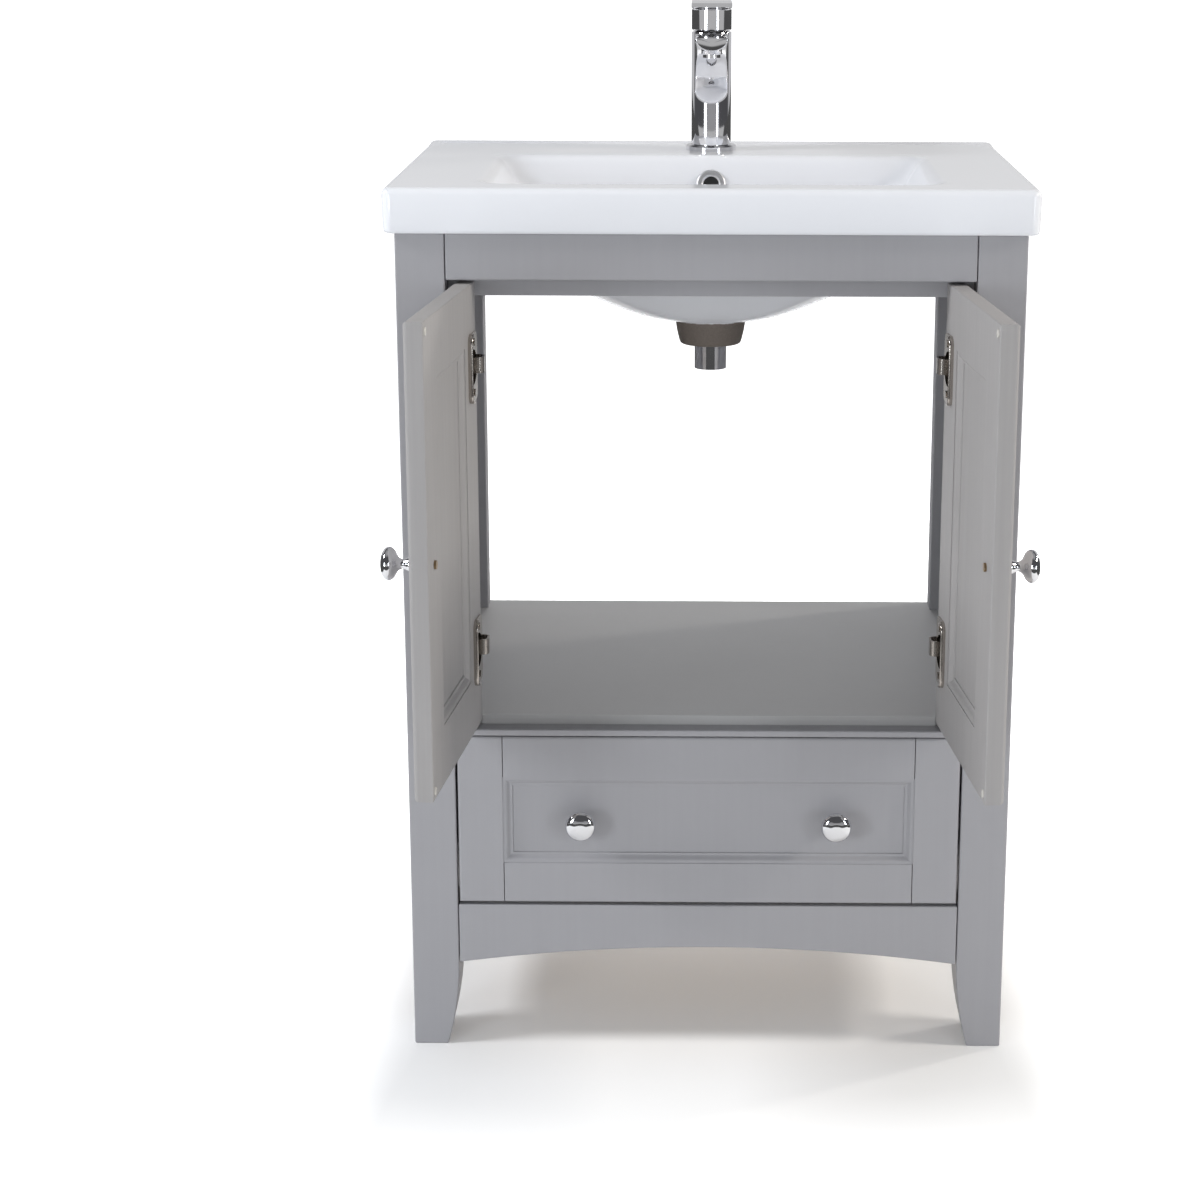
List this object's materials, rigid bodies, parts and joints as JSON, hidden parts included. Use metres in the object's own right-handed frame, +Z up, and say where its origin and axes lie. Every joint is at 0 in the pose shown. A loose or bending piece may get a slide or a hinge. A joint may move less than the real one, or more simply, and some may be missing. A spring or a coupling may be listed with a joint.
{
  "type": "vanity unit",
  "caption": "Floor-standing bathroom vanity with open cupboard doors, a drawer, an arched plinth and a moulded basin top with a mixer tap.",
  "frame": {"origin": "under the middle of the box that holds the unit with its doors open, on the floor", "axes": "+X to the right seen from the front, +Y back to the wall, +Z up"},
  "size_m": [0.61, 0.6744, 1.0124],
  "materials": {
    "painted_wood": "satin grey paint",
    "plain_wood": "clear matt lacquer",
    "glazed_basin": "gloss white glaze",
    "chrome_fittings": "polished",
    "nickel_hinges": "nickel plate, brushed",
    "runner_steel": "zinc plate",
    "brass_screws": "dull bronze",
    "black_rubber": "matt",
    "white_plastic": "matt"
  },
  "bodies": {
    "cabinet": {"front_post_left": "painted_wood", "front_post_right": "painted_wood", "rear_post_left": "painted_wood", "rear_post_right": "painted_wood", "side_panel_left": "painted_wood", "side_panel_right": "painted_wood", "top_front_rail": "painted_wood", "door_stop_rail": "painted_wood", "top_back_rail": "painted_wood", "shelf_board": "painted_wood", "door_sill": "painted_wood", "arched_apron": "painted_wood", "lower_back_panel": "painted_wood", "corner_blocks": "plain_wood", "basin": "glazed_basin", "overflow_ring": "chrome_fittings", "waste_body": "chrome_fittings", "waste_tailpiece": "chrome_fittings", "tap_base_ring": "chrome_fittings", "tap_body": "chrome_fittings", "tap_aerator": "chrome_fittings", "hinge_arms": "nickel_hinges", "hinge_plates": "nickel_hinges", "hinge_pins": "nickel_hinges", "hinge_plate_screws": "nickel_hinges", "runner_outer_members": "runner_steel", "tap_stud": "runner_steel", "tap_washer": "runner_steel", "tap_nut": "runner_steel", "waste_nut": "brass_screws", "tap_cartridge_nut": "brass_screws", "waste_gasket": "black_rubber", "tap_cartridge": "white_plastic"},
    "door_left": {"door_left_stiles": "painted_wood", "door_left_rails": "painted_wood", "door_left_panel": "painted_wood", "door_left_knob": "chrome_fittings", "door_left_hinge_cups": "nickel_hinges", "door_left_cup_screws": "nickel_hinges", "door_left_knob_screw": "brass_screws"},
    "door_right": {"door_right_stiles": "painted_wood", "door_right_rails": "painted_wood", "door_right_panel": "painted_wood", "door_right_knob": "chrome_fittings", "door_right_hinge_cups": "nickel_hinges", "door_right_cup_screws": "nickel_hinges", "door_right_knob_screw": "brass_screws"},
    "drawer": {"drawer_front_stiles": "painted_wood", "drawer_front_rails": "painted_wood", "drawer_front_panel": "painted_wood", "drawer_box_boards": "plain_wood", "drawer_bottom": "plain_wood", "drawer_knobs": "chrome_fittings", "drawer_knob_screws": "brass_screws", "runner_inner_members": "runner_steel"},
    "runner_middle": {"runner_middle_members": "runner_steel"},
    "tap_hub": {"tap_hub": "chrome_fittings", "tap_lever_pin": "runner_steel"},
    "tap_lever": {"tap_lever": "chrome_fittings"},
    "waste_stopper": {"waste_stopper": "chrome_fittings"}
  },
  "joints": [
    {"name": "door_left_swing", "type": "hinge", "parent": "cabinet", "child": "door_left", "pos_m": [-0.2325, -0.1065, 0.5515], "axis": [0, 0, 1], "range_deg": [0, 95.6]},
    {"name": "door_right_swing", "type": "hinge", "parent": "cabinet", "child": "door_right", "pos_m": [0.2325, -0.1065, 0.5515], "axis": [0, 0, -1], "range_deg": [0, 95.6]},
    {"name": "drawer_slide", "type": "slide", "parent": "cabinet", "child": "drawer", "axis": [0, -1, 0], "range_m": [0, 0.3]},
    {"name": "runner_slide", "type": "slide", "parent": "cabinet", "child": "runner_middle", "axis": [0, -1, 0], "range_m": [0, 0.15]},
    {"name": "tap_turn", "type": "hinge", "parent": "cabinet", "child": "tap_hub", "pos_m": [0, 0.2522, 1.003], "axis": [0, 0, 1], "range_deg": [-45, 45]},
    {"name": "tap_lift", "type": "hinge", "parent": "tap_hub", "child": "tap_lever", "pos_m": [0, 0.2662, 1.007], "axis": [-1, 0, 0], "range_deg": [0, 25]},
    {"name": "stopper_lift", "type": "slide", "parent": "cabinet", "child": "waste_stopper", "axis": [0, 0, 1], "range_m": [0, 0.009]}
  ],
  "couplings": [
    {"joint": "runner_slide", "follows": "drawer_slide", "ratio": 0.5}
  ]
}
